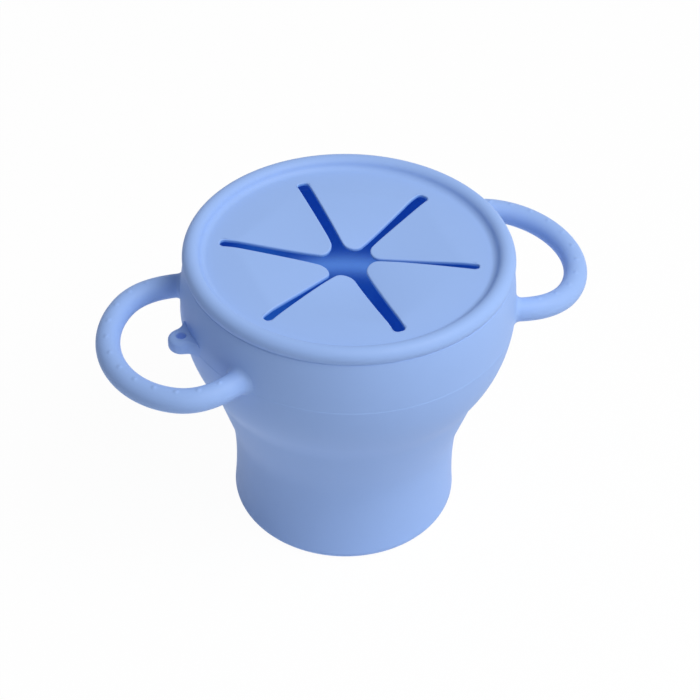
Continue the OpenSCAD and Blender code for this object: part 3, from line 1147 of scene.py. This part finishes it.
class SNACKCUP_OT_petals(bpy.types.Operator):
    """Make the six petals, which bend along the line between the ends of their slits"""

    bl_idname = "snack_cup.petals"
    bl_label = "Petals"

    def execute(self, context):
        lid = context.scene.snack_cup_lid
        hinge = slit_sizes(lid).hinge
        for k, (sag, twist) in enumerate(zip(lid.sag, lid.twist)):
            places, poles, flat = petal_places(lid, sag, twist)
            spin = spun(lid.turn + k * PITCH)
            places, poles = slits_moved(places @ spin, lid), slits_moved(poles @ spin, lid)
            skin = add_skin(f"petal_{k + 1}_skin", places, poles, lid_painted_light(lid), flat)
            stand_in(skin, LID_FINISH, f"petal_{k + 1}")
            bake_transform(skin)
        return {"FINISHED"}


# ---------------------------------------------------------------- stage


def soft_lamp(name, place, target, size, power):
    """A square area lamp at place, turned to shine on target."""
    lamp = bpy.data.lights.new(name, "AREA")
    lamp.size, lamp.energy = size, power
    holder = added(name, lamp)
    holder.location = place
    holder.rotation_euler = (Vector(target) - Vector(place)).to_track_quat("-Z", "Y").to_euler()


def seen_directly(made):
    """1 for light that the camera, a mirror or glass sees, and 0 for light that only falls on things."""
    path = "ShaderNodeLightPath"
    rays = ("Is Camera Ray", "Is Glossy Ray", "Is Transmission Ray")
    camera, glossy, transmission = (made.node(path, output=ray) for ray in rays)
    return camera + glossy + transmission


def add_floor(look):
    """A wide level floor whose height is 0 everywhere: a disc of rings, each point (r cos a, r sin a, 0).

    Its finish is a pale matte that stays near white to the camera, to mirrors and to glass, and keeps
    part of the shadow.
    """
    sides = 72
    r = np.array([0.05, 0.3, 1.0, 3.0])[:, None]
    a = np.linspace(0, 2 * np.pi, sides, endpoint=False)
    rings = np.stack([r * np.cos(a), r * np.sin(a), np.zeros((len(r), sides))], axis=-1).reshape(-1, 3)
    faces = grid_faces(len(r), sides, False)[:, ::-1].tolist() + [list(range(sides))]
    mesh = bpy.data.meshes.new("floor")
    mesh.from_pydata(rings.tolist(), [], faces)
    floor = added("floor", mesh)
    material = bpy.data.materials.new("pale_floor")
    material.use_nodes = True
    made = Finish(material.node_tree)
    matte = made.node("ShaderNodeBsdfDiffuse", inputs={"Color": (*look.floor_colour, 1)})
    plain = made.node("ShaderNodeEmission", inputs={"Color": WHITE, "Strength": 1.0})
    share = look.floor_plain * seen_directly(made)
    mixed = made.node("ShaderNodeMixShader", inputs={"Fac": share, 1: matte, 2: plain})
    made.node("ShaderNodeOutputMaterial", inputs={"Surface": mixed})
    mesh.materials.append(material)


def add_surroundings(look):
    """An even white world, at full strength to the camera, to mirrors and to glass, and weaker as a light."""
    world = bpy.data.worlds.new("surroundings")
    world.use_nodes = True
    bpy.context.scene.world = world
    made = Finish(world.node_tree)
    light = made.node("ShaderNodeBackground", inputs={"Color": WHITE, "Strength": look.surround})
    white = made.node("ShaderNodeBackground", inputs={"Color": WHITE, "Strength": 1.0})
    mixed = made.node("ShaderNodeMixShader", inputs={"Fac": seen_directly(made), 1: light, 2: white})
    made.node("ShaderNodeOutputWorld", inputs={"Surface": mixed})


def add_camera(look):
    """The camera, and the directions to its right and behind it.

    Standing upright it looks along +Y. It is rolled about its line of sight, tipped down, swung to the
    right, and then carried round the cup together with its place.
    """
    lens = bpy.data.cameras.new("camera")
    lens.lens, lens.sensor_width, lens.clip_start = look.lens, 36, 0.01
    lens.shift_x, lens.shift_y = look.shift
    camera = added("camera", lens)
    aim = (
        Matrix.Rotation(-look.camera_swing, 4, "Z")
        @ Matrix.Rotation(math.radians(90) - look.camera_down, 4, "X")
        @ Matrix.Rotation(look.camera_roll, 4, "Z")
    )
    place = Matrix.Translation((0, -look.camera_out, look.camera_z))
    camera.matrix_world = Matrix.Rotation(-look.camera_round, 4, "Z") @ place @ aim
    bpy.context.scene.camera = camera
    axes = np.array(camera.matrix_world)
    return axes[:3, 0], axes[:3, 2]


class SNACKCUP_OT_stage(bpy.types.Operator):
    """Set the floor, the surroundings, the soft lamp and the camera"""

    bl_idname = "snack_cup.stage"
    bl_label = "Stage"

    def execute(self, context):
        look = context.scene.snack_cup_stage
        add_floor(look)
        add_surroundings(look)
        right, back = add_camera(look)
        middle, up = np.array([0, 0, 0.05]), np.array([0, 0, 1])
        # High up, to the camera's right and a little towards the camera
        way = 0.52 * right + 0.63 * up + 0.355 * back
        soft_lamp("key_lamp", middle + look.key_far * way, middle, look.key_size, look.key_power)
        context.scene.view_settings.view_transform = "Standard"
        return {"FINISHED"}


class SNACKCUP_PT_panel(bpy.types.Panel):
    """The snack cup's pieces, in the order in which they are made"""

    bl_idname = "SNACKCUP_PT_panel"
    bl_label = "Snack Cup"
    bl_space_type = "VIEW_3D"
    bl_region_type = "UI"
    bl_category = "Snack Cup"

    def draw(self, context):
        for step in STEPS:
            self.layout.operator(step.bl_idname)
        for store in STORES:
            box = self.layout.box()
            sizes = getattr(context.scene, store)
            for name in sizes.bl_rna.properties.keys():
                if name not in {"rna_type", "name"}:
                    box.prop(sizes, name)


STEPS = (
    SNACKCUP_OT_base,
    SNACKCUP_OT_web,
    SNACKCUP_OT_bowl,
    SNACKCUP_OT_handles,
    SNACKCUP_OT_lug,
    SNACKCUP_OT_lid,
    SNACKCUP_OT_petals,
    SNACKCUP_OT_stage,
)
STORES = {
    "snack_cup_sizes": CupSizes,
    "snack_cup_handle": HandleSizes,
    "snack_cup_lid": LidSizes,
    "snack_cup_finishes": Finishes,
    "snack_cup_stage": StageLook,
}


def register():
    for group in (*STORES.values(), *STEPS, SNACKCUP_PT_panel):
        bpy.utils.register_class(group)
    for store, group in STORES.items():
        setattr(bpy.types.Scene, store, PointerProperty(type=group))


def unregister():
    for store in STORES:
        delattr(bpy.types.Scene, store)
    for group in reversed((*STORES.values(), *STEPS, SNACKCUP_PT_panel)):
        bpy.utils.unregister_class(group)


def main():
    """Makes every piece and the stage."""
    register()
    for make in (
        bpy.ops.snack_cup.base,
        bpy.ops.snack_cup.web,
        bpy.ops.snack_cup.bowl,
        bpy.ops.snack_cup.handles,
        bpy.ops.snack_cup.lug,
        bpy.ops.snack_cup.lid,
        bpy.ops.snack_cup.petals,
        bpy.ops.snack_cup.stage,
    ):
        make()


if __name__ == "__main__":
    main()
